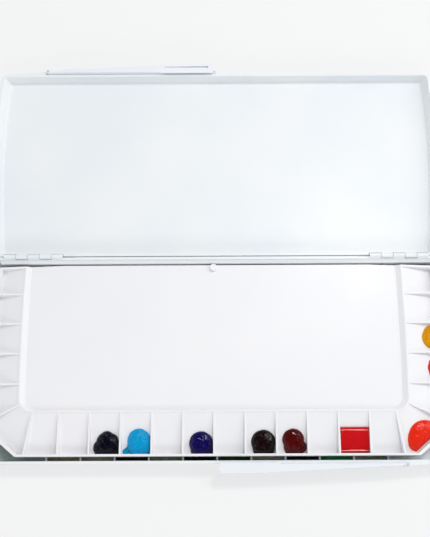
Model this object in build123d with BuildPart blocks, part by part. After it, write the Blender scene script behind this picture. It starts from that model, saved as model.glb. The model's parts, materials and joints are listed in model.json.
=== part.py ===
from build123d import *
import math
import os

# A folding watercolour palette of white moulded plastic, laid open: a deep base with a lift-out
# tray, a shallow lid on two pin hinges, and two swing-out latch arms that clamp the rims when shut.
# Millimetres, +Z up. The origin is the centre of the base's underside, X runs along the hinge,
# and +Y points from the front rim to the hinge, with the open lid beyond it.

# Shell halves
hinge_end_width = 393.0
front_end_width = 401.0
middle_width = 406.0
half_depth = 178.0
base_height = 22.0
lid_height = 13.5
corner_radius = 6.0
wall = 1.6
floor = 2.0
bead_width = 0.8
bead_height = 1.8
front_draft = 3.0
side_lean = 4.0
lid_floor_radius = 2.2
rim_inset = bead_width + wall

# Hinge
hinge_gap = 0.9
hinge_rise = 0.1
hinge_inner_end = 135.0
hinge_outer_end = 187.0
knuckle_count = 5
knuckle_gap = 0.3
knuckle_radius = 2.2
knuckle_relief = 0.4
hinge_pin_radius = 0.8
pin_clearance = 0.05
hinge_y = half_depth / 2 + hinge_gap / 2
hinge_z = base_height + hinge_rise
lid_centre_y = hinge_y + hinge_gap / 2 + half_depth / 2

# Wells moulded into the base
base_well_pitch = 28.75
front_divider_reach = 5
side_divider_count = 4
base_divider_thickness = 1.4
base_divider_top = 9.9
base_ridge_half_width = 152.0
base_ridge_front = -48.0
base_ridge_radius = 12.0
base_ridge_width = 3.0
base_slope_top = 7.5
base_ridge_bow = 0.5
base_mixing_floor = 4.0
base_ridge_rear_width = 1.0

# Sloping ledge along the inside of the base's rear wall
ledge_width = 2.6
ledge_top = 20.8
ledge_lip = 18.3
ledge_bottom = 14.0

# Lift-out tray
tray_end_half_width = 190.9
tray_bow = 4.5
tray_shift = 0.4
ridge_shift = -2.5
tray_front = -82.8
tray_rear = 82.7
tray_bottom = 10.0
tray_top = 19.8
tray_wall = 1.9
tray_skin = 1.6
tray_corner_x = 22.0
tray_corner_y = 18.5
tray_rear_slant = 2.2
well_pitch = 26.15
divider_thickness = 1.6
first_side_divider_y = 56.0
end_divider_x = 153.1
end_divider_fan = 5.9
end_divider_bite = 1.0
corner_divider_x = 160.3
corner_divider_y = -38.0
corner_divider_end_y = -52.5
ridge_half_width = 165.6
ridge_front = -46.4
ridge_radius = 12.0
ridge_bow = 1.0
ridge_foot = 19.3
ridge_top_width = 1.3
mixing_floor = 16.6
mixing_side_slope = 4.2
mixing_front_slope = 1.5
rear_knee_x = 135.0
wall_bite = 0.5
thumb_tab_radius = 3.2
thumb_tab_inset = 2.6
thumb_tab_height = 2.6

# Latch arms
arm_pivot_x = 156.5
arm_length = 154.4
arm_root_depth = 1.8
arm_tip_depth = 8.1
arm_knee = 127.0
arm_knee_step = 0.2
arm_wall_gap = 0.25
arm_above_rim = 3.6
arm_below_rim = 9.0
arm_eye_radius = 1.45
arm_pin_radius = 0.6
arm_pin_head_radius = 1.1
arm_pin_head_height = 0.5
jaw_start = 105.0
slot_start = 108.0
slot_end = 150.5
slot_half_height = 2.2
slot_depth = 0.9
jaw_lip = 0.8
pocket_start = 109.0
pocket_end = 149.0
pocket_start_width = 0.5
pocket_end_width = 1.1
pocket_round = 0.8
pocket_cover = 2.9
pocket_depth = 9.0
tab_radius = 2.6
tab_height = 3.0
tab_slot_radius = 1.7
tab_slot_width = 0.7
lug_top = -2.0
lug_height = 4.0
lug_clearance = 0.2
tail_length = 34.0
tail_gap = 0.5
arm_pivot_out = arm_wall_gap + arm_eye_radius

# Paint
paint_clearance = 0.1
puddle_top = 4.6
puddle_wall_gap = 1.6
corner_puddle_start = -6.45
pan_thickness = 2.4
pan_length = 21.5
pan_well = 4
dab_height = 2.4
dab_wall_gap = 0.4
dab_corner_radius = 4.8
dab_side_corner_radius = 3.8
dab_edge_radius = 1.4
indigo_dab_size = (22.0, 19.5)
turquoise_dab_size = (21.5, 20.5)
violet_dab_size = (20.5, 17.8)
maroon_dab_size = (21.0, 18.6)
dark_red_dab_size = (20.5, 20.2)
yellow_dab_size = (10.0, 21.0)
vermilion_dab_size = (8.0, 16.5)
yellow_dab_x = 183.5
vermilion_dab_x = 185.0
corner_dab_place = (176.0, -73.0)
corner_dab_z = 12.5
corner_dab_edge = ((13, 0.6), (16.5, 8), (11.5, 16), (2.5, 19.3), (-8, 15), (-13.2, 5), (-11, 0.6))
corner_floor_slope = 0.22

overrun = 20.0

os.makedirs("parts", exist_ok=True)


def finish(piece, name):
    """Label a finished piece and write it to its own STEP file."""
    piece.part.label = name
    export_step(piece.part, f"parts/{name}.step")


def shell_outline(centre_y, towards_front, height, inset, side_inset=0.0):
    """Outline of one palette half: its bowed sides are narrowest at the hinge."""
    half = half_depth / 2 - inset
    front_y = centre_y + towards_front * half
    rear_y = centre_y - towards_front * half
    front_x = front_end_width / 2 - inset - side_inset
    rear_x = hinge_end_width / 2 - inset - side_inset
    middle_x = middle_width / 2 - inset - side_inset
    with BuildSketch(Plane.XY.offset(height)) as outline:
        with BuildLine():
            for side in (-1, 1):
                ThreePointArc(
                    (side * front_x, front_y), (side * middle_x, centre_y), (side * rear_x, rear_y)
                )
            Line((-front_x, front_y), (front_x, front_y))
            Line((-rear_x, rear_y), (rear_x, rear_y))
        make_face()
        fillet(outline.vertices(), radius=corner_radius - inset)
    return outline.sketch


def well_outline(plane, half_width, bow, front, rear, corner_x, corner_y, rounded, slant=0.0):
    """Outline with square rear corners and rounded or chamfered front corners."""
    middle = (front + rear) / 2
    rear_end = rear - slant
    bulge = 1 - math.sqrt(0.5)
    with BuildSketch(plane) as outline:
        with BuildLine():
            Polyline(
                (half_width, rear_end),
                (rear_knee_x, rear),
                (-rear_knee_x, rear),
                (-half_width, rear_end),
            )
            for side in (-1, 1):
                side_front = (side * half_width, front + corner_y)
                front_side = (side * (half_width - corner_x), front)
                ThreePointArc(
                    (side * half_width, rear_end), (side * (half_width + bow), middle), side_front
                )
                if rounded:
                    bulge_point = (side * (half_width - bulge * corner_x), front + bulge * corner_y)
                    ThreePointArc(side_front, bulge_point, front_side)
                else:
                    Line(side_front, front_side)
            Line((-half_width + corner_x, front), (half_width - corner_x, front))
        make_face()
    return outline.sketch


def tray_plane(height, share=1):
    """Level plane centred on the tray outline (share 0) or on its ridge and dividers (share 1)."""
    return Plane((tray_shift + share * (ridge_shift - tray_shift), 0, height))


def tray_slope_outline(share, height, margin):
    """Outline part way up the sloping well floors: share 0 at the tray wall, 1 at the ridge."""
    wall_inset = tray_wall - margin

    def between(outer, inner):
        return outer + share * (inner - outer)

    half_width = between(tray_end_half_width - wall_inset, ridge_half_width)
    return well_outline(
        tray_plane(height, share),
        half_width,
        between(tray_bow, ridge_bow),
        between(tray_front + wall_inset, ridge_front),
        tray_rear - wall_inset,
        between(tray_corner_x, ridge_radius),
        between(tray_corner_y, ridge_radius),
        share == 1,
        tray_rear_slant * (half_width - rear_knee_x) / (tray_end_half_width - rear_knee_x),
    )


def divider_outlines(plane, segments, thickness):
    """Thin upright ribs, each drawn along its centre line."""
    with BuildSketch(plane) as ribs:
        for (start_x, start_y), (end_x, end_y) in segments:
            run_x = end_x - start_x
            run_y = end_y - start_y
            with Locations(((start_x + end_x) / 2, (start_y + end_y) / 2)):
                Rectangle(
                    math.hypot(run_x, run_y),
                    thickness,
                    rotation=math.degrees(math.atan2(run_y, run_x)),
                )
    return ribs.sketch


def knuckle_places(sides):
    """Centre of each knuckle along the hinge, at both ends; sides picks every other one."""
    span = hinge_outer_end - hinge_inner_end
    length = (span - (knuckle_count - 1) * knuckle_gap) / knuckle_count
    places = []
    for direction in (-1, 1):
        for index in range(sides, knuckle_count, 2):
            centre = hinge_inner_end + length / 2 + index * (length + knuckle_gap)
            places.append(direction * centre)
    return places, length


def hinge_rod(centre_x, radius, length):
    """Round bar along the hinge axis, centred at centre_x."""
    with BuildSketch(Plane.YZ.offset(centre_x - length / 2)) as disc:
        with Locations((hinge_y, hinge_z)):
            Circle(radius)
    return extrude(disc.sketch, amount=length, mode=Mode.PRIVATE)


def latch_plane(pivot_x, wall_y, direction):
    """Plane at a latch pivot on the rim plane: X along the arm, Y away from the wall."""
    return Plane(
        origin=(pivot_x, wall_y + direction * arm_pivot_out, base_height),
        x_dir=(direction, 0, 0),
        z_dir=(0, 0, 1),
    )


base_latch_place = (arm_pivot_x, -half_depth / 2, -1)
lid_latch_place = (-arm_pivot_x, lid_centre_y + half_depth / 2, 1)


def latch_lug(place):
    """Tapered tail along the wall that ends in the lug of a latch arm."""
    plane = latch_plane(*place)
    wall_face = -arm_pivot_out - bead_width - wall / 2
    tail_end = -arm_eye_radius - tail_gap
    with BuildPart(mode=Mode.PRIVATE) as lug:
        with BuildSketch(plane.offset(lug_top - lug_height)):
            Circle(arm_eye_radius)
            with Locations((-arm_eye_radius / 2, wall_face / 2)):
                Rectangle(3 * arm_eye_radius, -wall_face)
        extrude(amount=lug_height)
        with BuildSketch(plane.offset(-arm_below_rim)):
            with BuildLine():
                Polyline(
                    (-tail_length, wall_face),
                    (tail_end, wall_face),
                    (tail_end, arm_eye_radius - tail_gap),
                    (-tail_length, -arm_pivot_out),
                    close=True,
                )
            make_face()
        extrude(amount=arm_below_rim)
        with BuildSketch(plane.offset(-arm_below_rim)):
            Circle(arm_pin_radius + pin_clearance)
        extrude(amount=arm_below_rim, mode=Mode.SUBTRACT)
    return lug.part


# Dividers of the base wells, straight along the front and up both sides
def base_dividers():
    """Centre lines of the base dividers as pairs of points."""
    segments = []
    front_wall = -half_depth / 2 + rim_inset - wall / 2
    side_wall = hinge_end_width / 2 - rim_inset - side_lean
    side_bow = (middle_width - hinge_end_width) / 2
    for index in range(-front_divider_reach, front_divider_reach + 1):
        x = index * base_well_pitch
        segments.append(((x, base_ridge_front), (x, front_wall)))
    for side in (-1, 1):
        for index in range(side_divider_count):
            y = half_depth / 2 - rim_inset - (index + 1) * base_well_pitch
            inner_x = side * base_ridge_half_width
            outer_x = side * (side_wall + side_bow / 2)
            segments.append(((inner_x, y), (outer_x, y)))
    return segments


# Dividers of the tray wells
def tray_dividers():
    """Centre lines of the tray dividers as pairs of points, the corner ones fanning outwards."""
    segments = []
    front_wall = tray_front + tray_wall / 2
    for index in range(-front_divider_reach, front_divider_reach + 1):
        x = index * well_pitch
        segments.append(((x, ridge_front), (x, front_wall)))
    for side in (-1, 1):
        side_wall = tray_end_half_width + side * (tray_shift - ridge_shift)
        fan_start = (side * end_divider_x, ridge_front + end_divider_bite)
        fan_end = (side * (end_divider_x + end_divider_fan), front_wall)
        segments.append((fan_start, fan_end))
        corner_start = (side * corner_divider_x, corner_divider_y)
        corner_end = (side * side_wall, corner_divider_end_y)
        segments.append((corner_start, corner_end))
        for index in range(side_divider_count):
            y = first_side_divider_y - index * well_pitch
            inner_x = side * ridge_half_width
            outer_x = side * (side_wall + tray_bow / 2)
            segments.append(((inner_x, y), (outer_x, y)))
    return segments


def shell_cavity(centre_y, towards_front, bottom, top, floor_radius):
    """Hollow of one half: leaning walls and a rounded floor edge."""
    run = (top - bottom) * math.tan(math.radians(front_draft))
    foot = shell_outline(centre_y, towards_front, bottom, rim_inset + run, side_lean - run)
    rim = shell_outline(centre_y, towards_front, top, rim_inset)
    with BuildPart(mode=Mode.PRIVATE) as cavity:
        loft([foot.face(), rim.face()], ruled=True)
        if floor_radius > 0:
            fillet(cavity.faces().sort_by(Axis.Z)[0].edges(), radius=floor_radius)
    return cavity.part


def shell_solid(centre_y, towards_front, bottom, top, floor_radius):
    """Open shell of one half from bottom to top, with leaning walls and a rim bead."""
    run = (top - bottom) * math.tan(math.radians(front_draft))
    foot = shell_outline(centre_y, towards_front, bottom, bead_width + run, side_lean - run)
    rim = shell_outline(centre_y, towards_front, top, bead_width)
    with BuildPart(mode=Mode.PRIVATE) as shell:
        loft([foot.face(), rim.face()], ruled=True)
        extrude(shell_outline(centre_y, towards_front, top, 0), amount=-bead_height)
        cavity = shell_cavity(centre_y, towards_front, bottom + floor, top, floor_radius)
        add(cavity, mode=Mode.SUBTRACT)
    return shell.part


def rear_ledge():
    """Sloping strip that closes the gap between the rear wall and the tray."""
    half_length = hinge_end_width / 2 - corner_radius
    wall_y = half_depth / 2 - rim_inset
    with BuildPart(mode=Mode.PRIVATE) as ledge:
        with BuildSketch(Plane.YZ.offset(-half_length)):
            with BuildLine():
                Polyline(
                    (wall_y + wall / 2, ledge_bottom),
                    (wall_y + wall / 2, ledge_top),
                    (wall_y, ledge_top),
                    (wall_y - ledge_width, ledge_lip),
                    (wall_y - ledge_width, ledge_bottom),
                    close=True,
                )
            make_face()
        extrude(amount=2 * half_length)
    return ledge.part


own_knuckles, knuckle_length = knuckle_places(0)
lid_knuckles, knuckle_length = knuckle_places(1)
relief_length = knuckle_length + 2 * knuckle_gap
hinge_span = hinge_outer_end - hinge_inner_end
hinge_middle = (hinge_outer_end + hinge_inner_end) / 2

# Base: a deep tray with wells on three sides, hinge knuckles behind and a latch lug in front
with BuildPart() as base_tray:
    add(shell_solid(0, -1, 0, base_height, 0))
    base_rear = half_depth / 2 - rim_inset
    slope_foot = well_outline(
        Plane.XY.offset(floor),
        hinge_end_width / 2 - rim_inset - side_lean + wall / 2,
        (middle_width - hinge_end_width) / 2,
        -base_rear,
        base_rear,
        corner_radius,
        corner_radius,
        True,
    )
    slope_head = well_outline(
        Plane.XY.offset(base_slope_top),
        base_ridge_half_width,
        base_ridge_bow,
        base_ridge_front,
        base_rear,
        base_ridge_radius,
        base_ridge_radius,
        True,
    )
    loft([slope_foot.face(), slope_head.face()], ruled=True)
    ridge = well_outline(
        Plane.XY.offset(floor),
        base_ridge_half_width,
        base_ridge_bow,
        base_ridge_front,
        base_rear,
        base_ridge_radius,
        base_ridge_radius,
        True,
    )
    extrude(ridge, amount=base_divider_top - floor)
    ribs = divider_outlines(Plane.XY.offset(floor), base_dividers(), base_divider_thickness)
    extrude(ribs, amount=base_divider_top - floor)
    mixing_area = well_outline(
        Plane.XY.offset(base_mixing_floor),
        base_ridge_half_width - base_ridge_width,
        base_ridge_bow,
        base_ridge_front + base_ridge_width,
        base_rear - base_ridge_rear_width,
        base_ridge_radius - base_ridge_width,
        base_ridge_radius - base_ridge_width,
        True,
    )
    extrude(mixing_area, amount=base_divider_top, mode=Mode.SUBTRACT)
    add(rear_ledge())
    for x in lid_knuckles:
        add(hinge_rod(x, knuckle_radius + knuckle_relief, relief_length), mode=Mode.SUBTRACT)
    for x in own_knuckles:
        add(hinge_rod(x, knuckle_radius, knuckle_length))
    for side in (-1, 1):
        rod = hinge_rod(side * hinge_middle, hinge_pin_radius + pin_clearance, hinge_span + overrun)
        add(rod, mode=Mode.SUBTRACT)
    add(latch_lug(base_latch_place))
finish(base_tray, "base_tray")

# Lid: a plain shallow tray that doubles as a mixing surface
lid_bottom = base_height - lid_height
with BuildPart() as lid:
    add(shell_solid(lid_centre_y, 1, lid_bottom, base_height, lid_floor_radius))
    for x in own_knuckles:
        add(hinge_rod(x, knuckle_radius + knuckle_relief, relief_length), mode=Mode.SUBTRACT)
    for x in lid_knuckles:
        add(hinge_rod(x, knuckle_radius, knuckle_length))
    for side in (-1, 1):
        rod = hinge_rod(side * hinge_middle, hinge_pin_radius + pin_clearance, hinge_span + overrun)
        add(rod, mode=Mode.SUBTRACT)
    add(latch_lug(lid_latch_place))
finish(lid, "lid")

# Hinge pins
for side, name in ((-1, "hinge_pin_left"), (1, "hinge_pin_right")):
    with BuildPart() as hinge_pin:
        add(hinge_rod(side * hinge_middle, hinge_pin_radius, hinge_span))
    finish(hinge_pin, name)

# Latch arms and their pins: the two arms are alike, one the other way up
arm_inner = -arm_eye_radius
arm_root_outer = arm_inner + arm_root_depth
arm_tip_outer = arm_inner + arm_tip_depth
arm_height = arm_below_rim + arm_above_rim
jaw_length = arm_length - jaw_start
slot_length = slot_end - slot_start
for place, name, tab_on_top in (
    (base_latch_place, "base_latch", True),
    (lid_latch_place, "lid_latch", False),
):
    plane = latch_plane(*place)
    with BuildPart() as latch_arm:
        with BuildSketch(plane.offset(-arm_below_rim)):
            Circle(arm_eye_radius)
            with BuildLine():
                Polyline(
                    (0, arm_inner),
                    (arm_length, arm_inner),
                    (arm_length, arm_tip_outer),
                    (arm_knee, arm_tip_outer - arm_knee_step),
                    (0, arm_root_outer),
                    close=True,
                )
            make_face()
            with Locations((jaw_start + jaw_length / 2, arm_inner)):
                Rectangle(jaw_length, 2 * jaw_lip)
        extrude(amount=arm_height)
        tip_edges = latch_arm.edges().filter_by(Axis.Z).sort_by(Axis(plane.origin, plane.x_dir))[-2:]
        fillet(tip_edges, radius=bead_width)
        with BuildSketch(plane.offset(-slot_half_height)):
            with Locations((jaw_start + jaw_length / 2, arm_inner - jaw_lip)):
                Rectangle(jaw_length + overrun, 2 * jaw_lip)
            with Locations((slot_start + slot_length / 2, arm_inner)):
                Rectangle(slot_length, 2 * slot_depth)
        extrude(amount=2 * slot_half_height, mode=Mode.SUBTRACT)
        tab_bottom = arm_above_rim - tab_height if tab_on_top else -arm_below_rim
        with BuildSketch(plane.offset(tab_bottom)):
            with Locations((arm_length, (arm_inner + arm_tip_outer) / 2)):
                Circle(tab_radius)
                Circle(tab_slot_radius + tab_slot_width / 2, mode=Mode.SUBTRACT)
                Circle(tab_slot_radius - tab_slot_width / 2)
            with Locations((arm_length - tab_radius / 2, (arm_inner + arm_tip_outer) / 2)):
                Rectangle(tab_radius, 2 * tab_radius)
            with Locations((arm_length + tab_radius / 2, (arm_inner + arm_tip_outer) / 2)):
                Rectangle(tab_radius, tab_slot_width)
        extrude(amount=tab_height)
        pocket_bottom = -arm_below_rim if tab_on_top else arm_above_rim - pocket_depth
        pocket_y = arm_tip_outer - pocket_cover
        with BuildSketch(plane.offset(pocket_bottom)):
            with BuildLine():
                Polyline(
                    (pocket_start, pocket_y - pocket_start_width / 2),
                    (pocket_end, pocket_y - pocket_end_width / 2),
                    (pocket_end, pocket_y + pocket_end_width / 2),
                    (pocket_start, pocket_y + pocket_start_width / 2),
                    close=True,
                )
            make_face()
            with Locations((pocket_end, pocket_y)):
                Circle(pocket_round)
        extrude(amount=pocket_depth, mode=Mode.SUBTRACT)
        with BuildSketch(plane.offset(lug_top - lug_height - lug_clearance)):
            Rectangle(4 * arm_eye_radius - lug_clearance, 4 * arm_eye_radius)
        extrude(amount=lug_height + 2 * lug_clearance, mode=Mode.SUBTRACT)
        with BuildSketch(plane.offset(-arm_below_rim)):
            Circle(arm_pin_radius + pin_clearance)
        extrude(amount=arm_height, mode=Mode.SUBTRACT)
    finish(latch_arm, f"{name}_arm")
    with BuildPart() as latch_pin:
        with BuildSketch(plane.offset(-arm_below_rim)):
            Circle(arm_pin_radius)
        extrude(amount=arm_height + pin_clearance)
        with BuildSketch(plane.offset(arm_above_rim + pin_clearance)):
            Circle(arm_pin_head_radius)
        extrude(amount=arm_pin_head_height)
    finish(latch_pin, f"{name}_pin")

# Inner tray: a thin moulding with sloping wells round a mixing area that is open towards the hinge
underside_top = mixing_floor - tray_skin
underside_share = (underside_top - tray_bottom) / (ridge_foot - tray_skin - tray_bottom)
with BuildPart() as inner_tray:
    tray_height = tray_top - tray_bottom
    tray_shape = (tray_end_half_width, tray_bow, tray_front, tray_rear, tray_corner_x, tray_corner_y)
    tray_outline = well_outline(tray_plane(tray_bottom, 0), *tray_shape, False, tray_rear_slant)
    extrude(tray_outline, amount=tray_height)
    extrude(tray_slope_outline(0, tray_bottom, 0), amount=tray_height, mode=Mode.SUBTRACT)
    extrude(tray_slope_outline(0, tray_bottom, wall_bite), amount=tray_skin)
    slope_foot = tray_slope_outline(0, tray_bottom + tray_skin, wall_bite)
    slope_head = tray_slope_outline(1, ridge_foot, wall_bite)
    loft([slope_foot.face(), slope_head.face()], ruled=True)
    extrude(tray_slope_outline(1, tray_bottom, wall_bite), amount=tray_height)
    ribs = divider_outlines(tray_plane(tray_bottom), tray_dividers(), divider_thickness)
    extrude(ribs, amount=tray_height)
    mixing_foot = well_outline(
        tray_plane(mixing_floor),
        ridge_half_width - ridge_top_width - mixing_side_slope,
        ridge_bow,
        ridge_front + ridge_top_width + mixing_front_slope,
        tray_rear + overrun,
        ridge_radius - ridge_top_width,
        ridge_radius - ridge_top_width,
        True,
    )
    mixing_rim = well_outline(
        tray_plane(tray_top),
        ridge_half_width - ridge_top_width,
        ridge_bow,
        ridge_front + ridge_top_width,
        tray_rear + overrun,
        ridge_radius - ridge_top_width,
        ridge_radius - ridge_top_width,
        True,
    )
    loft([mixing_foot.face(), mixing_rim.face()], ruled=True, mode=Mode.SUBTRACT)
    hollow_foot = tray_slope_outline(0, tray_bottom, 0)
    hollow_head = tray_slope_outline(underside_share, underside_top, 0)
    loft([hollow_foot.face(), hollow_head.face()], ruled=True, mode=Mode.SUBTRACT)
    with BuildSketch(tray_plane(underside_top)):
        with Locations((0, tray_rear - thumb_tab_inset)):
            Circle(thumb_tab_radius)
    extrude(amount=tray_skin + thumb_tab_height)
finish(inner_tray, "inner_tray")

# Paint squeezed into the tray wells: low rounded dabs that lie on the sloping floors
front_floor_run = ridge_front - (tray_front + tray_wall - wall_bite)
front_floor_rise = ridge_foot - tray_bottom - tray_skin
front_floor_angle = math.degrees(math.atan2(front_floor_rise, front_floor_run))
well_wall_y = tray_front + tray_wall
well_clear_width = well_pitch - divider_thickness - 2 * paint_clearance


def floor_plane(x, y, floor_z, tilt_x, tilt_y):
    """Plane just above a sloping well floor, tilted about X and then about Y."""
    return Plane(Location((x, y, floor_z + paint_clearance), (tilt_x, tilt_y, 0)))


def front_floor_z(y):
    """Height of the sloping front well floors at a distance from the hinge line."""
    return tray_bottom + tray_skin + front_floor_rise * (y - well_wall_y + wall_bite) / front_floor_run


def well_centre_x(index):
    """Middle of a front well; well 0 lies just right of the centre divider."""
    return ridge_shift + (index + 0.5) * well_pitch


def front_dab(well_index, size):
    """Dab in a front well, pushed against the front wall and the right-hand divider."""
    width, length = size
    centre_x = well_centre_x(well_index) + well_clear_width / 2 - dab_wall_gap - width / 2
    centre_y = well_wall_y + paint_clearance + length / 2 + dab_wall_gap
    plane = floor_plane(centre_x, centre_y, front_floor_z(centre_y), front_floor_angle, 0)
    with BuildPart(mode=Mode.PRIVATE) as dab:
        with BuildSketch(plane):
            RectangleRounded(width, length, dab_corner_radius)
        extrude(amount=dab_height)
        upward = Axis(plane.origin, plane.z_dir)
        fillet(dab.faces().sort_by(upward)[-1].edges(), radius=dab_edge_radius)
    return dab.part


for name, well_index, size in (
    ("indigo_dab", -4, indigo_dab_size),
    ("turquoise_dab", -3, turquoise_dab_size),
    ("violet_dab", -1, violet_dab_size),
    ("maroon_dab", 1, maroon_dab_size),
    ("dark_red_dab", 2, dark_red_dab_size),
):
    with BuildPart() as dab:
        add(front_dab(well_index, size))
    finish(dab, name)

# A flat block of red paint that fills its well from divider to divider
with BuildPart() as red_pan:
    pan_y = well_wall_y + dab_wall_gap + pan_length / 2
    pan_plane = floor_plane(well_centre_x(pan_well), pan_y, front_floor_z(pan_y), front_floor_angle, 0)
    with BuildSketch(pan_plane):
        Rectangle(well_clear_width, pan_length)
    extrude(amount=pan_thickness)
finish(red_pan, "red_pan")

# Dabs in the right-hand side wells and the right front corner well
side_wall_x = tray_shift + tray_end_half_width + tray_bow - tray_wall
side_floor_run = side_wall_x - ridge_shift - ridge_half_width - ridge_bow
side_floor_angle = math.degrees(math.atan2(front_floor_rise, side_floor_run))
for name, x, wells_forward, size in (
    ("yellow_dab", yellow_dab_x, 1.5, yellow_dab_size),
    ("vermilion_dab", vermilion_dab_x, 2.5, vermilion_dab_size),
):
    y = first_side_divider_y - wells_forward * well_pitch
    floor_z = tray_bottom + tray_skin + front_floor_rise * (side_wall_x - x) / side_floor_run
    plane = floor_plane(x, y, floor_z + 2 * paint_clearance, 0, side_floor_angle)
    upward = Axis(plane.origin, plane.z_dir)
    with BuildPart() as side_dab:
        with BuildSketch(plane):
            RectangleRounded(*size, dab_side_corner_radius)
        extrude(amount=dab_height)
        fillet(side_dab.faces().sort_by(upward)[-1].edges(), radius=dab_edge_radius)
    finish(side_dab, name)

# The corner dab is a leaf shape whose straight edge follows the chamfered wall
chamfer_angle = math.atan2(tray_corner_y, tray_corner_x)
corner_plane = Plane(
    origin=(*corner_dab_place, corner_dab_z),
    x_dir=(math.cos(chamfer_angle), math.sin(chamfer_angle), 0),
    z_dir=(
        math.sin(chamfer_angle) * corner_floor_slope,
        -math.cos(chamfer_angle) * corner_floor_slope,
        1,
    ),
)
with BuildPart() as orange_red_dab:
    with BuildSketch(corner_plane):
        with BuildLine():
            Line(corner_dab_edge[-1], corner_dab_edge[0])
            Spline(*corner_dab_edge)
        make_face()
    extrude(amount=dab_height)
    upward = Axis(corner_plane.origin, corner_plane.z_dir)
    fillet(orange_red_dab.faces().sort_by(upward)[-1].edges(), radius=dab_edge_radius / 2)
finish(orange_red_dab, "orange_red_dab")

# Paint pooled in the deep ends of the base wells, under the tray
base_floor_slope = (base_slope_top - floor) / (base_ridge_front + half_depth / 2 - rim_inset)
puddle_front = -half_depth / 2 + rim_inset + puddle_wall_gap
for name, start, end in (
    ("black_puddle_left", -3, -2),
    ("black_puddle_centre", -1, 0),
    ("black_puddle_right", 2, 3),
    ("dark_green_puddle", 0, 1),
    ("green_puddle", 3, 4),
    ("grey_green_puddle", corner_puddle_start, -5),
):
    margin = base_divider_thickness / 2 + paint_clearance
    left = start * base_well_pitch + margin
    right = end * base_well_pitch - margin
    wall_y = -half_depth / 2 + rim_inset
    front_floor = floor + base_floor_slope * (puddle_front - wall_y) + paint_clearance
    with BuildPart() as puddle:
        with BuildSketch(Plane.YZ.offset(left)):
            with BuildLine():
                Polyline(
                    (puddle_front, front_floor),
                    (puddle_front + (puddle_top - front_floor) / base_floor_slope, puddle_top),
                    (puddle_front, puddle_top),
                    close=True,
                )
            make_face()
        extrude(amount=right - left)
    finish(puddle, name)
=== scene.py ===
"""Looks of the folding mixing palette: moulded plastic, paint, light, floor and camera."""
import json
import math

import bmesh
import bpy
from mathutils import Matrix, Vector, noise
from mathutils.bvhtree import BVHTree

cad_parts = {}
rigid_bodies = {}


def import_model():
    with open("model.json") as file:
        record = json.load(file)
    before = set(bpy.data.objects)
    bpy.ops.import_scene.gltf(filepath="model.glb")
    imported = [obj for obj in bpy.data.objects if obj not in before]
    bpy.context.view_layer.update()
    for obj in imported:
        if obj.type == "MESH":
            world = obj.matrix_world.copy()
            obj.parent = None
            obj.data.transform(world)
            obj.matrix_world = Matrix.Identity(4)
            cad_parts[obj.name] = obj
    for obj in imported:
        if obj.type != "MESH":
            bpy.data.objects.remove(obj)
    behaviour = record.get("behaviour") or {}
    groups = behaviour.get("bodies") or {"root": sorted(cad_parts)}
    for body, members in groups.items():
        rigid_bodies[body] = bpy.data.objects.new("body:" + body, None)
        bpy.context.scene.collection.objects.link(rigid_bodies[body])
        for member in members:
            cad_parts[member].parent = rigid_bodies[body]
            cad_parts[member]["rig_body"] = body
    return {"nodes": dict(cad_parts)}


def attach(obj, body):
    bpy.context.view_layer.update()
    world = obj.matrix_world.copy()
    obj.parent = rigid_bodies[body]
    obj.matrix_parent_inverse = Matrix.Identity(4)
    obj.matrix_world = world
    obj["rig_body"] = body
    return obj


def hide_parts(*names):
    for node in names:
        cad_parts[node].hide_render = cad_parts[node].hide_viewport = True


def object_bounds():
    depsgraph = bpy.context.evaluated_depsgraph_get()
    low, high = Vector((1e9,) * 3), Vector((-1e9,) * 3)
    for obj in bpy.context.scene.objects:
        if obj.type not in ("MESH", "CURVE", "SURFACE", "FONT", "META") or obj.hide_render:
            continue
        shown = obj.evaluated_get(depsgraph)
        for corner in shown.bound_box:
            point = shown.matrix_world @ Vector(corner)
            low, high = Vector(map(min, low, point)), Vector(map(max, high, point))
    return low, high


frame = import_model()
cad_low, cad_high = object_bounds()
nodes = frame["nodes"]
scene = bpy.context.scene

MM = 0.001

# ---------------------------------------------------------------- material helpers


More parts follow.
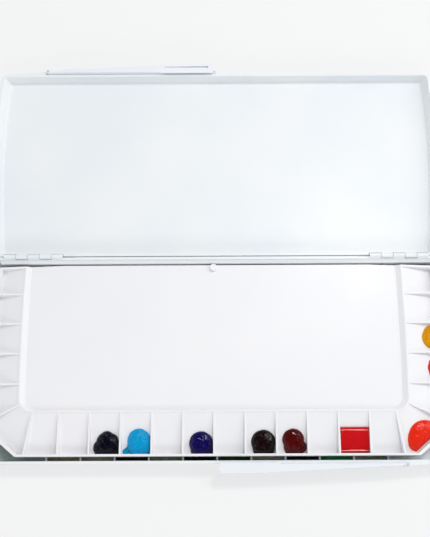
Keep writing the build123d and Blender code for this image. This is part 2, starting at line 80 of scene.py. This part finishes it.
class Shader:
    """A material being built from nodes, with short calls for the common ones."""

    def __init__(self, name):
        self.material = bpy.data.materials.new(name)
        self.material.use_nodes = True
        self.tree = self.material.node_tree
        self.tree.nodes.clear()
        self.bsdf = self.add("ShaderNodeBsdfPrincipled")
        self.output = self.add("ShaderNodeOutputMaterial")
        self.link(self.bsdf.outputs["BSDF"], self.output.inputs["Surface"])
        self.coordinates = self.add("ShaderNodeTexCoord").outputs["Object"]

    def add(self, kind):
        return self.tree.nodes.new(kind)

    def link(self, source, target):
        self.tree.links.new(source, target)

    def put(self, socket, value):
        """Plug an output into a socket, or write a constant into it."""
        if hasattr(value, "is_output"):
            self.link(value, socket)
        else:
            socket.default_value = value

    def set(self, **values):
        for key, value in values.items():
            self.put(self.bsdf.inputs[key.replace("_", " ")], value)

    def math(self, operation, *values):
        node = self.add("ShaderNodeMath")
        node.operation = operation
        for socket, value in zip(node.inputs, values):
            self.put(socket, value)
        return node.outputs[0]

    def scaled(self, factors):
        node = self.add("ShaderNodeVectorMath")
        node.operation = "MULTIPLY"
        self.link(self.coordinates, node.inputs[0])
        node.inputs[1].default_value = factors
        return node.outputs[0]

    def noise(self, size, detail=2.0, roughness=0.5, distortion=0.0, vector=None):
        """Noise whose features are about size metres across."""
        node = self.add("ShaderNodeTexNoise")
        self.link(self.coordinates if vector is None else vector, node.inputs["Vector"])
        node.inputs["Scale"].default_value = 1.0 / size
        node.inputs["Detail"].default_value = detail
        node.inputs["Roughness"].default_value = roughness
        node.inputs["Distortion"].default_value = distortion
        return node.outputs["Fac"]

    def remap(self, value, from_low, from_high, to_low, to_high):
        node = self.add("ShaderNodeMapRange")
        self.put(node.inputs["Value"], value)
        for socket, number in zip(list(node.inputs)[1:5], (from_low, from_high, to_low, to_high)):
            socket.default_value = number
        return node.outputs["Result"]

    def mix(self, share, first, second):
        node = self.add("ShaderNodeMix")
        node.data_type = "RGBA"
        self.put(node.inputs[0], share)
        self.put(node.inputs[6], first)
        self.put(node.inputs[7], second)
        return node.outputs[2]

    def bump(self, height, distance, strength=1.0, normal=None):
        node = self.add("ShaderNodeBump")
        node.inputs["Strength"].default_value = strength
        node.inputs["Distance"].default_value = distance
        self.link(height, node.inputs["Height"])
        if normal is not None:
            self.link(normal, node.inputs["Normal"])
        return node.outputs["Normal"]

    def soft_edges(self, radius):
        node = self.add("ShaderNodeBevel")
        node.samples = 6
        node.inputs["Radius"].default_value = radius
        return node.outputs["Normal"]

    def axes(self):
        node = self.add("ShaderNodeSeparateXYZ")
        self.link(self.coordinates, node.inputs[0])
        return node.outputs


def colour(red, green, blue):
    """Linear colour from display values 0 to 255."""
    return tuple((value / 255.0) ** 2.2 for value in (red, green, blue)) + (1.0,)


# ---------------------------------------------------------------- materials

PLASTIC = colour(240, 242, 243)
PLASTIC_COOL = colour(233, 238, 241)
PLASTIC_ROUGHNESS = (0.41, 0.45)
SOFT_EDGE = 0.25 * MM


def white_plastic(name, light=PLASTIC, dark=PLASTIC_COOL, wash_and_shade=None):
    """Glossy moulded polystyrene: faint tone drift, fine orange peel, hairline rubbing."""
    shader = Shader(name)
    drift = shader.noise(90 * MM, 3.0)
    base = shader.mix(shader.remap(drift, 0.35, 0.65, 0.0, 1.0), light, dark)
    if wash_and_shade is not None:
        base = wash_and_shade(shader, base)
    smear = shader.noise(14 * MM, 4.0, 0.6, 0.4)
    rubbing = shader.noise(3 * MM, 2.0, 0.5, 0.0, shader.scaled((0.15, 1.0, 1.0)))
    roughness = shader.remap(smear, 0.3, 0.7, *PLASTIC_ROUGHNESS)
    roughness = shader.math("ADD", roughness, shader.remap(rubbing, 0.55, 0.8, 0.0, 0.04))
    peel = shader.bump(shader.noise(1.6 * MM, 1.0), 0.01 * MM, 0.35, shader.soft_edges(SOFT_EDGE))
    wave = shader.bump(shader.noise(38 * MM, 1.0), 0.12 * MM, 0.15, peel)
    shader.set(Base_Color=base, Roughness=roughness, Normal=wave)
    shader.set(Subsurface_Weight=0.06, Subsurface_Scale=1.5 * MM, IOR=1.5)
    shader.set(Subsurface_Radius=(1.0, 0.9, 0.8))
    shader.set(Specular_IOR_Level=0.35, Coat_Weight=0.03, Coat_Roughness=0.15)
    return shader.material


WELL_REACH = 143.75 * MM
WELL_PITCH = 28.75 * MM
WASH_SHADE_REAR = -64 * MM
WASH_SHADE_FRONT = -87 * MM
WASH_SHADE_TOP = 7.5 * MM
WASH_SHADE_BOTTOM = 1.5 * MM
WASH_SHADE_WOBBLE = 6 * MM
WASH_SHADE_REAR_FADE = 4 * MM
WASH_SHADE_TOP_FADE = 3 * MM
WASH_SHADE_COVER = 0.94
# Tint colours: partly dried paint, partly painted shade coloured by light reflected off the paints
WASH_SHADE_OLIVE = colour(188, 196, 150)
WASH_SHADE_BROWN = colour(204, 190, 150)
WASH_SHADE_PLUM = colour(160, 156, 150)


def well_wash_and_shade(shader, base):
    """Dried washes with painted shade low on the floors of the front wells of the base: the tint stands
    partly for old paint and partly for shade coloured by light reflected off the paints.
    """
    x, y, z = shader.axes()
    reach = shader.math("LESS_THAN", shader.math("ABSOLUTE", x), WELL_REACH)
    edge = shader.math("ADD", y, shader.math("MULTIPLY", shader.noise(5 * MM, 3.0), WASH_SHADE_WOBBLE))
    near = shader.remap(edge, WASH_SHADE_REAR, WASH_SHADE_REAR - WASH_SHADE_REAR_FADE, 0.0, 1.0)
    low = shader.remap(z, WASH_SHADE_TOP, WASH_SHADE_TOP - WASH_SHADE_TOP_FADE, 0.0, 1.0)
    cover = shader.math("MULTIPLY", shader.math("MULTIPLY", reach, near), low)
    inside = shader.math("GREATER_THAN", y, WASH_SHADE_FRONT)
    above = shader.math("GREATER_THAN", z, WASH_SHADE_BOTTOM)
    cover = shader.math("MULTIPLY", shader.math("MULTIPLY", inside, above), cover)
    index = shader.math("FLOOR", shader.math("DIVIDE", x, WELL_PITCH))
    pick = shader.add("ShaderNodeTexWhiteNoise")
    pick.noise_dimensions = "1D"
    shader.link(index, pick.inputs["W"])
    wash = shader.mix(pick.outputs["Value"], WASH_SHADE_OLIVE, WASH_SHADE_BROWN)
    blotch = shader.remap(shader.noise(7 * MM, 4.0, 0.6, 0.8), 0.45, 0.62, 0.0, 0.8)
    wash = shader.mix(blotch, wash, WASH_SHADE_PLUM)
    return shader.mix(shader.math("MULTIPLY", cover, WASH_SHADE_COVER), base, wash)


def steel(name):
    """Drawn steel rod: fine rings across its length and a little grime."""
    shader = Shader(name)
    rings = shader.noise(0.6 * MM, 3.0, 0.6, 0.0, shader.scaled((1.0, 0.1, 0.1)))
    tone = shader.mix(shader.noise(2.5 * MM, 3.0), colour(176, 178, 180), colour(132, 133, 134))
    shader.set(Base_Color=tone, Metallic=1.0)
    shader.set(Roughness=shader.remap(rings, 0.3, 0.7, 0.22, 0.42))
    shader.set(Normal=shader.bump(rings, 0.01 * MM, 0.4))
    return shader.material


def paint(name, body, crease_shade, tip_sheen, thin, gloss=0.05, streak_size=3.2):
    """Thick glossy watercolour: streaked pigment with painted shade in the folds and painted sheen on
    the tips, wet skin.
    """
    shader = Shader(name)
    streak = shader.noise(streak_size * MM, 4.0, 0.6, 1.6)
    folds = shader.noise(0.9 * MM, 3.0, 0.55, 0.8)
    # Painted shade: the darker copy of the paint fills the low creases of the streak bump
    tone = shader.mix(shader.remap(streak, 0.35, 0.68, 0.0, 1.0), crease_shade, body)
    # Painted sheen: the lighter copy of the paint sits on the raised tips of the fold bump
    tone = shader.mix(shader.remap(folds, 0.56, 0.75, 0.0, 0.3), tone, tip_sheen)
    depth = shader.add("ShaderNodeAttribute")
    depth.attribute_name = "depth"
    tone = shader.mix(shader.remap(depth.outputs["Fac"], 0.2, 0.7, 0.8, 0.0), tone, thin)
    shader.set(Base_Color=tone, Roughness=shader.remap(folds, 0.3, 0.7, gloss, gloss + 0.08))
    creases = shader.bump(streak, 0.5 * MM, 0.26)
    shader.set(Normal=shader.bump(folds, 0.1 * MM, 0.1, creases))
    shader.set(Specular_IOR_Level=0.42, IOR=1.45)
    return shader.material


def speckled_paint(name):
    """Half-dried grey-green wash with dark flecks and pale bloom."""
    shader = Shader(name)
    wash = shader.mix(shader.noise(6 * MM, 4.0, 0.6, 1.0), colour(138, 158, 150), colour(194, 204, 198))
    flecks = shader.remap(shader.noise(0.8 * MM, 3.0, 0.7), 0.56, 0.66, 0.0, 1.0)
    tone = shader.mix(flecks, wash, colour(46, 58, 50))
    shader.set(Base_Color=tone, Roughness=shader.remap(flecks, 0.0, 1.0, 0.3, 0.6))
    shader.set(Normal=shader.bump(flecks, 0.1 * MM, 0.5), Coat_Weight=0.3)
    return shader.material


FLOOR_GLOW = 0.53


def floor_paper(name):
    """Plain pale studio sweep with a barely visible tooth."""
    shader = Shader(name)
    tone = shader.mix(shader.noise(0.5, 2.0), colour(166, 166, 166), colour(164, 164, 164))
    shader.set(Base_Color=tone, Roughness=0.9, Specular_IOR_Level=0.1)
    shader.set(Emission_Color=(1.0, 1.0, 1.0, 1.0), Emission_Strength=FLOOR_GLOW)
    shader.set(Normal=shader.bump(shader.noise(1.2 * MM, 2.0), 0.05 * MM, 0.2))
    return shader.material


# ---------------------------------------------------------------- carried-over CAD nodes


def dress(node, material):
    """Give a CAD node its finished material."""
    mesh = nodes[node].data
    for index in range(len(mesh.materials)):
        mesh.materials[index] = material


shell_plastic = white_plastic("shell_plastic")
# The base's front wells get a tint that is partly dried washes and partly painted shade
base_plastic = white_plastic("base_plastic", wash_and_shade=well_wash_and_shade)
tray_plastic = white_plastic("tray_plastic", colour(243, 242, 244), colour(240, 240, 242))
arm_plastic = white_plastic("arm_plastic", colour(240, 242, 247), colour(234, 237, 243))
pin_plastic = white_plastic("latch_pin_plastic", colour(212, 215, 219), colour(198, 202, 207))
pin_steel = steel("hinge_pin_steel")

dress("lid", shell_plastic)
dress("base_tray", base_plastic)
dress("inner_tray", tray_plastic)
for side in ("base", "lid"):
    dress(f"{side}_latch_arm", arm_plastic)
    dress(f"{side}_latch_pin", pin_plastic)
for side in ("left", "right"):
    dress(f"hinge_pin_{side}", pin_steel)

# ---------------------------------------------------------------- paint

ROUND_STEPS = 120
RING_STEPS = 34
FLOOR_SINK = 0.05 * MM
FLOOR_SEARCH = 3.0 * MM
SEARCH_SPAN = 2.5
UNDERSIDE = -0.7
THINNEST_PAINT = 0.18 * MM
DOME_POWER = 2.6
DOME_ROOT = 0.64
MERGE_SHARPNESS = 4.0
COIL_PACE = 0.6
COIL_TWIST = 1.3
CREASE_PACE = 2.1
CREASE_SHIFT = (7.0, 3.0)
CREASE_SHARE = 0.5
FOLD_FADE = 1.2 * MM
OUTLINE_RIPPLE = 0.04
RIPPLE_PACE = 2.2
RIPPLE_SEED_PACE = 1.7
PARALLEL = 1e-6
START_CLEAR = 1.0 * MM
DAB_GRAIN = 3.2 * MM
FLAT_DAB_HEIGHT = 3.6 * MM
FOOTPRINT_LEVEL = 0.6 * MM


class WellFloor:
    """Finds the plastic under a piece of paint by looking straight down at a CAD node."""

    def __init__(self, node):
        mesh = nodes[node].data
        points = [vertex.co.copy() for vertex in mesh.vertices]
        self.tree = BVHTree.FromPolygons(points, [tuple(face.vertices) for face in mesh.polygons])

    def below(self, point, up, reach):
        """Signed height of the floor along up, seen from a point on the paint's base plane."""
        hit = self.tree.ray_cast(point + up * reach, -up, SEARCH_SPAN * reach)
        if hit[0] is None:
            return 0.0
        return (hit[0] - point).dot(up)

    def edge(self, place, start, way):
        """How far the paint itself reaches from a point on its base plane, just above the floor."""
        eye = place.point(start[0], start[1], FOOTPRINT_LEVEL)
        hit = self.tree.ray_cast(eye, place.across * way[0] + place.rise * way[1])
        return hit[3]


class PaintPlace:
    """Local frame of a CAD paint node: across the slope, up the slope, and away from it."""

    def __init__(self, node, level=False):
        mesh = nodes[node].data
        under = max(
            (face for face in mesh.polygons if face.normal.z < UNDERSIDE),
            key=lambda face: face.area,
        )
        self.up = -Vector(under.normal).normalized()
        climb = Vector((0, 0, 1)) - self.up * self.up.z
        self.rise = climb.normalized()
        if level:
            self.up = Vector((0, 0, 1))
            self.rise = Vector((0, 1, 0))
        self.across = self.rise.cross(self.up).normalized()
        points = [vertex.co for vertex in mesh.vertices]
        spans = []
        for axis in (self.across, self.rise):
            values = [point.dot(axis) for point in points]
            spans.append((min(values), max(values)))
        self.half_across = (spans[0][1] - spans[0][0]) / 2
        self.half_rise = (spans[1][1] - spans[1][0]) / 2
        base = Vector(under.center).dot(self.up)
        self.origin = (
            self.across * sum(spans[0]) / 2 + self.rise * sum(spans[1]) / 2 + self.up * base
        )

    def point(self, u, v, height):
        return self.origin + self.across * u + self.rise * v + self.up * height


def dome(u, v, lobe):
    """Height of one lobe of paint above the floor at a point."""
    lobe_u, lobe_v, radius, height = lobe
    share = math.hypot(u - lobe_u, v - lobe_v) / radius
    if share >= 1.0:
        return 0.0
    return height * (1.0 - share**DOME_POWER) ** DOME_ROOT


def exit_distance(start, direction, lobe):
    """How far a ray runs from a point before it leaves one lobe."""
    lobe_u, lobe_v, radius, _ = lobe
    off_u, off_v = start[0] - lobe_u, start[1] - lobe_v
    along = off_u * direction[0] + off_v * direction[1]
    root = along * along - (off_u * off_u + off_v * off_v - radius * radius)
    if root < 0:
        return 0.0
    return max(0.0, -along + math.sqrt(root))


def merged_domes(u, v, lobes):
    """Height of several lobes run softly into one another."""
    heights = [dome(u, v, lobe) for lobe in lobes]
    return sum(height**MERGE_SHARPNESS for height in heights) ** (1.0 / MERGE_SHARPNESS)


def folded(merged, u, v, wrinkle, grain, seed):
    """Squeezed-out coils and creases added to a smooth height."""
    place = Vector((u / grain, v / grain, seed))
    coil = noise.noise(place + noise.noise_vector(place * COIL_PACE) * COIL_TWIST)
    crease = 1.0 - abs(noise.noise(place * CREASE_PACE + Vector((*CREASE_SHIFT, seed))))
    fade = min(1.0, merged / FOLD_FADE)
    return merged + fade * wrinkle * (coil + CREASE_SHARE * crease)


def paint_reach(start, way, lobes, room, seed):
    """Distance from the start to the rippled edge of the lobes, or to the wall that stops them."""
    reach = max(exit_distance(start, way, lobe) for lobe in lobes)
    spot = (way[0] * RIPPLE_PACE, way[1] * RIPPLE_PACE, seed * RIPPLE_SEED_PACE)
    ripple = noise.noise(Vector(spot))
    reach *= 1.0 + OUTLINE_RIPPLE * ripple
    for axis in (0, 1):
        wall = room[2 * axis + (way[axis] > 0)]
        if abs(way[axis]) > PARALLEL:
            reach = min(reach, (wall - start[axis]) / way[axis])
    return reach


def build_paint(node, lobes, room, material, wrinkle, grain, seed):
    """A closed lump of paint on its well floor: merged lobes cut off at the walls of their room.

    Without lobes and room the lump follows the outline of its CAD node.
    """
    place = PaintPlace(node)
    under_paint = well_floors[nodes[node]["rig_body"]]
    footprint = None if lobes else WellFloor(node)
    start = (0.0, 0.0)
    if lobes:
        start = (lobes[0][0], max(lobes[0][1], room[2] + START_CLEAR))
    rings = []
    for step in range(1, RING_STEPS + 1):
        share = math.sin(step / RING_STEPS * math.pi / 2)
        ring = []
        for index in range(ROUND_STEPS):
            angle = math.tau * index / ROUND_STEPS
            way = (math.cos(angle), math.sin(angle))
            if lobes:
                reach = paint_reach(start, way, lobes, room, seed)
            else:
                reach = footprint.edge(place, start, way)
            ring.append((start[0] + way[0] * reach * share, start[1] + way[1] * reach * share, share))
        rings.append(ring)
    bm = bmesh.new()

    def grounded(u, v):
        return under_paint.below(place.point(u, v, 0.0), place.up, FLOOR_SEARCH)

    depth_layer = bm.verts.layers.float.new("depth")

    def top_vertex(u, v, share):
        if lobes:
            smooth = merged_domes(u, v, lobes)
        else:
            smooth = FLAT_DAB_HEIGHT * (1.0 - share**DOME_POWER) ** DOME_ROOT
        rise = max(folded(smooth, u, v, wrinkle, grain, seed), THINNEST_PAINT)
        vertex = bm.verts.new(place.point(u, v, grounded(u, v) + rise))
        vertex[depth_layer] = rise / MM
        return vertex

    def bottom_vertex(u, v, _share):
        return bm.verts.new(place.point(u, v, grounded(u, v) - FLOOR_SINK))

    crown = top_vertex(*start, 0.0)
    loops = [[top_vertex(*spot) for spot in ring] for ring in rings]
    loops += [[bottom_vertex(*spot) for spot in ring] for ring in reversed(rings)]
    heel = bottom_vertex(*start, 0.0)
    for index in range(ROUND_STEPS):
        after = (index + 1) % ROUND_STEPS
        bm.faces.new((crown, loops[0][index], loops[0][after]))
        for inner, outer in zip(loops, loops[1:]):
            bm.faces.new((inner[index], outer[index], outer[after], inner[after]))
        bm.faces.new((heel, loops[-1][after], loops[-1][index]))
    settle(bm, node, material)


def settle(bm, node, material):
    """Turn a finished lump into a piece that stands for its CAD node."""
    bmesh.ops.recalc_face_normals(bm, faces=bm.faces)
    mesh = bpy.data.meshes.new(node + "_lump")
    bm.to_mesh(mesh)
    bm.free()
    for polygon in mesh.polygons:
        polygon.use_smooth = True
    lump = bpy.data.objects.new(node + "_lump", mesh)
    scene.collection.objects.link(lump)
    mesh.materials.append(material)
    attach(lump, nodes[node]["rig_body"])
    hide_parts(node)


SLAB_STEPS = 56


def build_slab(node, height_at, material, level=False):
    """A closed rectangular body of paint over its CAD node's footprint, with a shaped top."""
    place = PaintPlace(node, level)
    under_paint = well_floors[nodes[node]["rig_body"]]
    bm = bmesh.new()
    depth_layer = bm.verts.layers.float.new("depth")
    tops, bottoms = {}, {}
    for row in range(SLAB_STEPS + 1):
        for column in range(SLAB_STEPS + 1):
            across = -math.cos(math.pi * column / SLAB_STEPS)
            along = -math.cos(math.pi * row / SLAB_STEPS)
            u, v = across * place.half_across, along * place.half_rise
            ground = under_paint.below(place.point(u, v, 0.0), place.up, FLOOR_SEARCH)
            top = height_at(across, along)
            top = max(top if level else ground + top, ground + THINNEST_PAINT)
            tops[row, column] = bm.verts.new(place.point(u, v, top))
            tops[row, column][depth_layer] = (top - ground) / MM
            bottoms[row, column] = bm.verts.new(place.point(u, v, ground - FLOOR_SINK))
    for row in range(SLAB_STEPS):
        for column in range(SLAB_STEPS):
            corners = ((row, column), (row, column + 1), (row + 1, column + 1), (row + 1, column))
            bm.faces.new([tops[corner] for corner in corners])
            bm.faces.new([bottoms[corner] for corner in reversed(corners)])
    rim = [(0, step) for step in range(SLAB_STEPS)]
    rim += [(step, SLAB_STEPS) for step in range(SLAB_STEPS)]
    rim += [(SLAB_STEPS, SLAB_STEPS - step) for step in range(SLAB_STEPS)]
    rim += [(SLAB_STEPS - step, 0) for step in range(SLAB_STEPS)]
    for here, after in zip(rim, rim[1:] + rim[:1]):
        bm.faces.new((tops[here], bottoms[here], bottoms[after], tops[after]))
    settle(bm, node, material)


def lobe(u, v, radius, height):
    """One lobe given in millimetres."""
    return (u * MM, v * MM, radius * MM, height * MM)


def walls(low_u, high_u, low_v, high_v):
    """The walls round a piece of paint, given in millimetres on its own two axes."""
    return (low_u * MM, high_u * MM, low_v * MM, high_v * MM)


well_floors = {"inner_tray": WellFloor("inner_tray"), "base": WellFloor("base_tray")}

# Display colours of each paint: body, painted shade deep in the folds, painted sheen on the lit tips,
# thin at the edges
PAINT_COLOURS = {
    "indigo": ((13, 10, 34), (5, 4, 14), (26, 22, 54), (44, 48, 84)),
    "turquoise": ((6, 160, 216), (4, 146, 200), (40, 178, 214), (30, 140, 160)),
    "violet": ((26, 9, 96), (13, 4, 58), (42, 22, 114), (76, 62, 140)),
    "maroon": ((32, 3, 12), (15, 2, 7), (50, 12, 24), (70, 24, 34)),
    "dark_red": ((94, 6, 10), (58, 3, 6), (112, 22, 24), (120, 38, 36)),
    "red": ((206, 26, 32), (196, 20, 28), (214, 34, 36), (170, 14, 22)),
    "orange_red": ((236, 50, 26), (228, 40, 24), (240, 84, 40), (244, 140, 60)),
    "yellow": ((226, 160, 14), (206, 128, 8), (240, 188, 50), (240, 200, 90)),
    "vermilion": ((214, 50, 38), (196, 36, 30), (228, 84, 60), (236, 130, 110)),
    "black": ((14, 13, 13), (5, 5, 5), (34, 32, 30), (70, 68, 60)),
    "dark_green": ((5, 98, 34), (4, 64, 20), (12, 74, 32), (40, 90, 50)),
    "green": ((5, 176, 86), (4, 146, 70), (20, 130, 70), (60, 150, 100)),
}
# Gloss and streak size in millimetres, for the pan of set paint that differs from fresh paint
PAINT_FINISH = {"red": (0.12, 9.0)}

paints = {}
for pigment, tones in PAINT_COLOURS.items():
    finish = PAINT_FINISH.get(pigment, ())
    paints[pigment] = paint(f"{pigment}_paint", *(colour(*tone) for tone in tones), *finish)
paints["grey_green"] = speckled_paint("grey_green_paint")

WELL_CLEAR_WIDTH = 24.4 * MM
DIVIDER_MARGIN = 0.45 * MM


def front_dab(node, shape, material, wrinkle, seed):
    """A dab in a front well: shape lists (across, up the slope, radius, height) of its lobes."""
    place = PaintPlace(node)
    lobes = [
        (u * place.half_across, v * place.half_rise, radius * place.half_across, height * MM)
        for u, v, radius, height in shape
    ]
    right = place.half_across + DIVIDER_MARGIN
    room = (right - WELL_CLEAR_WIDTH, right, -place.half_rise - DIVIDER_MARGIN, 2 * place.half_rise)
    build_paint(node, lobes, room, material, wrinkle * MM, DAB_GRAIN, seed)


front_dab(
    "indigo_dab",
    [
        (0.08, 0.36, 0.52, 3.6),
        (0.02, -0.05, 0.78, 4.2),
        (-0.3, -0.5, 0.68, 3.2),
        (0.5, -0.45, 0.72, 3.4),
        (0.36, 0.06, 0.62, 3.6),
    ],
    paints["indigo"],
    wrinkle=0.55,
    seed=1.0,
)
front_dab(
    "turquoise_dab",
    [(0.12, 0.06, 0.92, 4.2), (0.12, -0.4, 0.94, 3.4), (-0.92, -0.84, 0.26, 0.5)],
    paints["turquoise"],
    wrinkle=0.6,
    seed=2.0,
)
front_dab(
    "violet_dab",
    [(0.06, -0.06, 0.98, 4.2), (0.14, -0.5, 0.96, 3.4)],
    paints["violet"],
    wrinkle=0.6,
    seed=3.0,
)
front_dab(
    "maroon_dab",
    [(0.08, -0.02, 0.98, 4.4), (0.1, -0.5, 0.9, 3.4)],
    paints["maroon"],
    wrinkle=0.6,
    seed=4.0,
)
front_dab(
    "dark_red_dab",
    [(-0.06, 0.1, 0.9, 4.2), (0.5, -0.5, 0.56, 3.2), (-0.06, -0.45, 0.78, 3.4)],
    paints["dark_red"],
    wrinkle=0.5,
    seed=5.0,
)
build_paint(
    "orange_red_dab",
    [],
    None,
    paints["orange_red"],
    wrinkle=0.5 * MM,
    grain=3.8 * MM,
    seed=6.0,
)
build_paint(
    "yellow_dab",
    [lobe(0, -3.6, 9.6, 3.6), lobe(3.0, -3.4, 8.2, 3.2)],
    walls(-11.5, 11.5, -5.4, 8),
    paints["yellow"],
    wrinkle=0.45 * MM,
    grain=3.8 * MM,
    seed=7.0,
)
build_paint(
    "vermilion_dab",
    [lobe(-3.6, -2.4, 5.4, 3.0), lobe(3.6, -2.4, 5.2, 2.8), lobe(0, -2.2, 6.2, 3.2)],
    walls(-9.5, 9.5, -4.4, 7),
    paints["vermilion"],
    wrinkle=0.25 * MM,
    grain=4.2 * MM,
    seed=8.0,
)

# The red block: a raised lip along the front, a shallow dish, a crest, then a fall to the back.
# Each pair is a place from front (-1) to back (1) and the height there in millimetres.
PAN_CREST = 0.66
PAN_PROFILE = (
    (-1.0, 0.9),
    (-0.95, 2.7),
    (-0.9, 3.2),
    (-0.84, 3.25),
    (-0.74, 2.85),
    (-0.5, 2.75),
    (0.35, 2.8),
    (PAN_CREST, 3.1),
)
PAN_FALL = 1.9
PAN_BOW = 0.03
PAN_SIDE = 0.93
PAN_SIDE_DROP = 0.45
PAN_SIDE_POWER = 2.5
PAN_RIPPLE = 0.05


def profile_height(along, profile):
    """Smooth interpolation along a short profile of (place, height) pairs."""
    for (start, low), (end, high) in zip(profile, profile[1:]):
        if along <= end:
            share = max(0.0, (along - start) / (end - start))
            share = share * share * (3 - 2 * share)
            return low + share * (high - low)
    return profile[-1][1]


def pan_height(across, along):
    """Height of the red block, with a slight bow along its crests and rounded sides."""
    bow = PAN_BOW * (1 - across * across)
    height = profile_height(along - bow, PAN_PROFILE)
    behind = max(0.0, (along - bow - PAN_CREST) / (1.0 - PAN_CREST))
    height -= PAN_FALL * behind * behind
    side = max(0.0, (abs(across) - PAN_SIDE) / (1.0 - PAN_SIDE))
    ripple = noise.noise(Vector((across * 2.0, along * 6.0, 9.0)))
    return (height * (1 - PAN_SIDE_DROP * side**PAN_SIDE_POWER) + PAN_RIPPLE * ripple) * MM


build_slab("red_pan", pan_height, paints["red"])

PUDDLE_DEPTH = 1.6 * MM
PUDDLE_RISE = 0.35 * MM
PUDDLE_RIPPLE = 0.2 * MM
PUDDLE_EDGE = 0.9


def puddle_height(across, along):
    """Level puddle with a small rise at its edges and dried ripples."""
    edge = max(0.0, (max(abs(across), abs(along)) - PUDDLE_EDGE) / (1.0 - PUDDLE_EDGE))
    ripple = noise.noise(Vector((across * 4.0, along * 3.0, 3.0)))
    return PUDDLE_DEPTH + PUDDLE_RISE * edge**2 + PUDDLE_RIPPLE * ripple


for node, pigment in (
    ("black_puddle_left", "black"),
    ("black_puddle_centre", "black"),
    ("black_puddle_right", "black"),
    ("dark_green_puddle", "dark_green"),
    ("green_puddle", "green"),
    ("grey_green_puddle", "grey_green"),
):
    build_slab(node, puddle_height, paints[pigment], level=True)

# ---------------------------------------------------------------- lights, floor, camera

centre = (cad_low + cad_high) / 2
FRONT_PLACE = Vector((0.1, -1.4, 1.1))
KEY_PLACE = Vector((0.36, 0.56, 1.5))
RIGHT_PLACE = Vector((1.25, 0.35, 1.15))
LEFT_PLACE = Vector((-1.3, 0.0, 1.05))


def soft_box(name, place, width, height, watts, tint, mirrored=True):
    """An area light aimed at the palette; mirrored says whether glossy surfaces show it."""
    light = bpy.data.lights.new(name, "AREA")
    light.shape = "RECTANGLE"
    light.size, light.size_y = width, height
    light.energy = watts
    light.color = tint
    holder = bpy.data.objects.new(name, light)
    holder.location = place
    holder.visible_glossy = mirrored
    holder.rotation_euler = (centre - place).to_track_quat("-Z", "Y").to_euler()
    scene.collection.objects.link(holder)


soft_box("key_light", KEY_PLACE, width=0.26, height=0.24, watts=7.0, tint=(1.0, 0.99, 0.98))
soft_box("right_light", RIGHT_PLACE, width=0.7, height=1.4, watts=6.4, tint=(1.0, 0.995, 0.99))
soft_box("left_light", LEFT_PLACE, width=0.35, height=1.2, watts=1.0, tint=(0.97, 0.99, 1.0))
soft_box(
    "front_light",
    FRONT_PLACE,
    width=1.6,
    height=0.7,
    watts=5.0,
    tint=(1.0, 1.0, 1.0),
    mirrored=False,
)

world = bpy.data.worlds.new("studio")
scene.world = world
world.use_nodes = True
# Upward part of the view direction where walls start to turn into ceiling, and where they end
HORIZON = 0.55
OVERHEAD = 0.95
CEILING = (0.27, 0.275, 0.28, 1.0)
WALLS = (0.74, 0.76, 0.78, 1.0)
# Strength of the studio as glossy surfaces see it
MIRRORED_STUDIO = 0.3
world_nodes, world_links = world.node_tree.nodes, world.node_tree.links
background = world_nodes["Background"]
gaze = world_nodes.new("ShaderNodeTexCoord")
split = world_nodes.new("ShaderNodeSeparateXYZ")
ramp = world_nodes.new("ShaderNodeMapRange")
ramp.interpolation_type = "SMOOTHSTEP"
blend = world_nodes.new("ShaderNodeMix")
blend.data_type = "RGBA"
for socket, number in zip(list(ramp.inputs)[1:5], (HORIZON, OVERHEAD, 0.0, 1.0)):
    socket.default_value = number
world_links.new(gaze.outputs["Generated"], split.inputs[0])
world_links.new(split.outputs["Z"], ramp.inputs["Value"])
world_links.new(ramp.outputs["Result"], blend.inputs[0])
blend.inputs[6].default_value = WALLS
blend.inputs[7].default_value = CEILING
world_links.new(blend.outputs[2], background.inputs["Color"])
rays = world_nodes.new("ShaderNodeLightPath")
strength = world_nodes.new("ShaderNodeMapRange")
world_links.new(rays.outputs["Is Glossy Ray"], strength.inputs["Value"])
for socket, number in zip(list(strength.inputs)[1:5], (0.0, 1.0, 1.0, MIRRORED_STUDIO)):
    socket.default_value = number
world_links.new(strength.outputs["Result"], background.inputs["Strength"])

FLOOR_HALF = 4.0
FLOOR_DROP = 0.02 * MM
bm = bmesh.new()
corners = [(-1, -1), (1, -1), (1, 1), (-1, 1)]
bm.faces.new([bm.verts.new((x * FLOOR_HALF, y * FLOOR_HALF, -FLOOR_DROP)) for x, y in corners])
floor_mesh = bpy.data.meshes.new("studio_floor")
bm.to_mesh(floor_mesh)
bm.free()
studio_floor = bpy.data.objects.new("studio_floor", floor_mesh)
floor_mesh.materials.append(floor_paper("studio_floor_paper"))
scene.collection.objects.link(studio_floor)

LENS = 70.95
SENSOR_WIDTH = 36.0
CAMERA_PLACE = (-0.00023, -0.12358, 0.73843)
CAMERA_TURN = (0.27442, 0.002448, -0.004044)
camera_data = bpy.data.cameras.new("camera")
camera_data.sensor_fit = "HORIZONTAL"
camera_data.sensor_width = SENSOR_WIDTH
camera_data.lens = LENS
camera = bpy.data.objects.new("camera", camera_data)
camera.location = CAMERA_PLACE
camera.rotation_euler = CAMERA_TURN
scene.collection.objects.link(camera)
scene.camera = camera

scene.view_settings.view_transform = "Standard"
